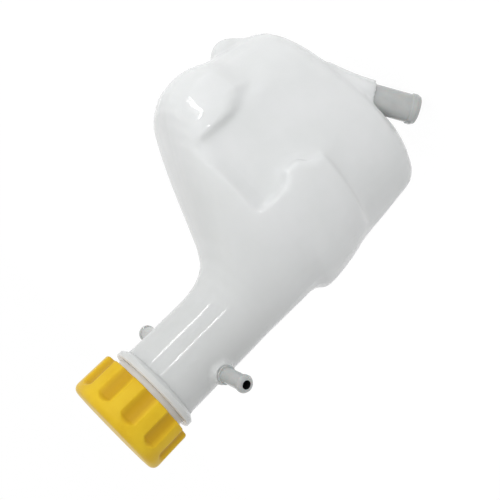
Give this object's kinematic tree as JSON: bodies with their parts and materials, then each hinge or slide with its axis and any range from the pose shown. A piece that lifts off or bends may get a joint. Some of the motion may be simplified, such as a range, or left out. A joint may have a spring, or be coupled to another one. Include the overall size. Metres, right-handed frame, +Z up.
{
  "type": "coolant expansion tank",
  "caption": "Translucent blown coolant expansion tank with a tall filler neck, hose nipples, an outlet spigot and a lobed pressure screw cap.",
  "frame": {"origin": "the point of the tank's floor below the filler neck's axis", "axes": "+Z up along the filler neck's axis, +X towards the tank's long side away from the outlet, -Y out of the front face with the bracket recess"},
  "size_m": [0.165, 0.0928, 0.2751],
  "materials": {
    "milky_polypropylene": "milky white, satin, blow moulded",
    "insert_plastic": "translucent grey-white, satin",
    "cap_yellow": "moulded yellow, semi gloss",
    "seal_rubber": "matt black",
    "valve_plastic": "moulded off-white",
    "spring_steel": "bright wire and stamped sheet"
  },
  "bodies": {
    "tank": {"tank_body": "milky_polypropylene", "filler_neck": "milky_polypropylene", "front_nipple": "insert_plastic", "rear_nipple": "insert_plastic", "outlet_spigot": "insert_plastic"},
    "cartridge": {"cartridge_body": "valve_plastic", "cartridge_o_ring": "seal_rubber", "rim_gasket": "seal_rubber", "valve_seat_ring": "valve_plastic", "pressure_spring": "spring_steel"},
    "cap": {"cap_shell": "cap_yellow"},
    "pressure_valve": {"pressure_valve_plate": "valve_plastic", "pressure_valve_seal": "seal_rubber", "vacuum_valve_seal": "seal_rubber", "vacuum_spring": "spring_steel"},
    "vacuum_valve": {"vacuum_valve_stem": "valve_plastic", "vacuum_spring_clip": "spring_steel"}
  },
  "joints": [
    {"name": "cap_rise", "type": "slide", "parent": "tank", "child": "cartridge", "axis": [0, 0, 1], "range_m": [0, 0.0275]},
    {"name": "cap_turn", "type": "hinge", "parent": "cartridge", "child": "cap", "pos_m": [0, 0, 0.24], "axis": [0, 0, 1], "range_deg": [0, 1980]},
    {"name": "pressure_lift", "type": "slide", "parent": "cartridge", "child": "pressure_valve", "axis": [0, 0, 1], "range_m": [0, 0.0025], "stiffness_N_per_m": 100, "springref_m": -0.006, "deforming": ["pressure_spring"]},
    {"name": "vacuum_drop", "type": "slide", "parent": "pressure_valve", "child": "vacuum_valve", "axis": [0, 0, -1], "range_m": [0, 0.0015], "stiffness_N_per_m": 40, "springref_m": -0.002, "deforming": ["vacuum_spring"]}
  ],
  "couplings": [
    {"joint": "cap_rise", "follows": "cap_turn", "m_per_rad": 0.00079577}
  ]
}
